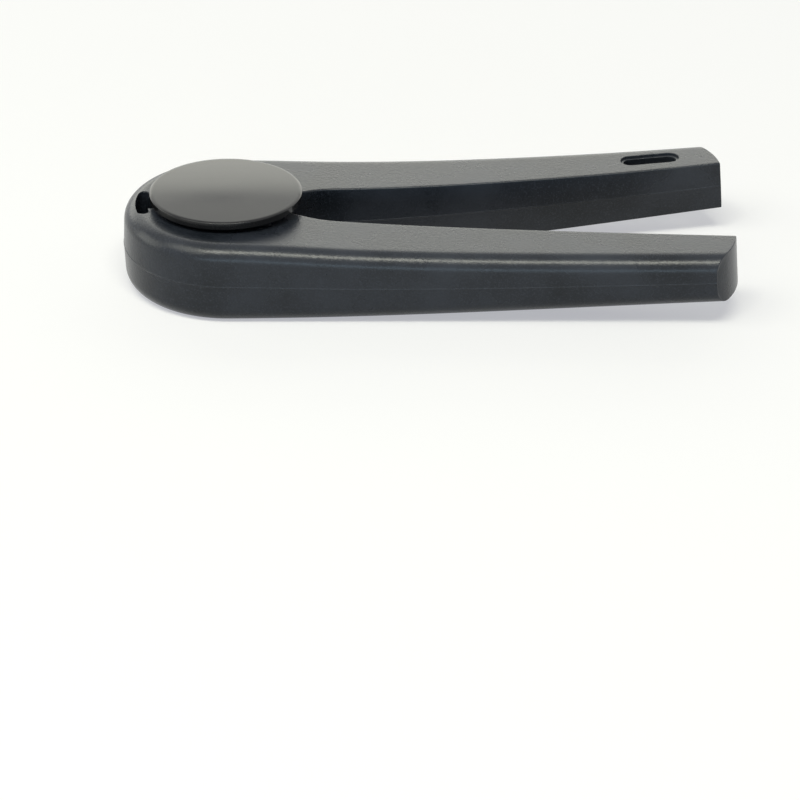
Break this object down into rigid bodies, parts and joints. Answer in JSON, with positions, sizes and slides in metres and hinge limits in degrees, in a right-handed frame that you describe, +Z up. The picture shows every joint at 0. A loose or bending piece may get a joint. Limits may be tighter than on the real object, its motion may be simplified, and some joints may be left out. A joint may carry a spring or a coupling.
{
  "type": "champagne opener",
  "caption": "Sprung hand tongs in dark moulded plastic that grip a sparkling-wine cork, with a round gloss-black push button over the cork and a wire slot in one handle.",
  "frame": {"origin": "cork axis at the head's underside", "axes": "+X from the cork axis along the handles, +Y to the rear handle with the wire slot, +Z up to the push button"},
  "size_m": [0.1361, 0.062, 0.0214],
  "materials": {
    "body_plastic": "fine spark-eroded charcoal grain",
    "grip_rubber": "soft matt black",
    "button_plastic": "polished black",
    "screw_steel": "zinc-plated",
    "washer_plastic": "natural slippery plastic",
    "spring_steel": "drawn stainless wire"
  },
  "bodies": {
    "hinge": {"hinge_web": "body_plastic", "spring_washer": "washer_plastic", "return_spring": "spring_steel"},
    "front_arm": {"front_lever": "body_plastic", "front_grip_pad": "grip_rubber"},
    "rear_arm": {"rear_lever": "body_plastic", "rear_grip_pad": "grip_rubber"},
    "ejector": {"push_button": "button_plastic", "ejector_foot": "button_plastic", "foot_screw": "screw_steel"}
  },
  "joints": [
    {"name": "front_squeeze", "type": "hinge", "parent": "hinge", "child": "front_arm", "pos_m": [-0.0217, 0, 0.00915], "axis": [0, 0, 1], "range_deg": [0, 6], "stiffness_Nm_per_rad": 2},
    {"name": "rear_squeeze", "type": "hinge", "parent": "hinge", "child": "rear_arm", "pos_m": [-0.0217, 0, 0.00915], "axis": [0, 0, 1], "range_deg": [-6, 0], "stiffness_Nm_per_rad": 2},
    {"name": "button_press", "type": "slide", "parent": "hinge", "child": "ejector", "axis": [0, 0, -1], "range_m": [0, 0.00085], "stiffness_N_per_m": 1500, "springref_m": -0.0008, "deforming": ["return_spring"]}
  ],
  "couplings": [
    {"joint": "rear_squeeze", "follows": "front_squeeze", "ratio": -1}
  ]
}
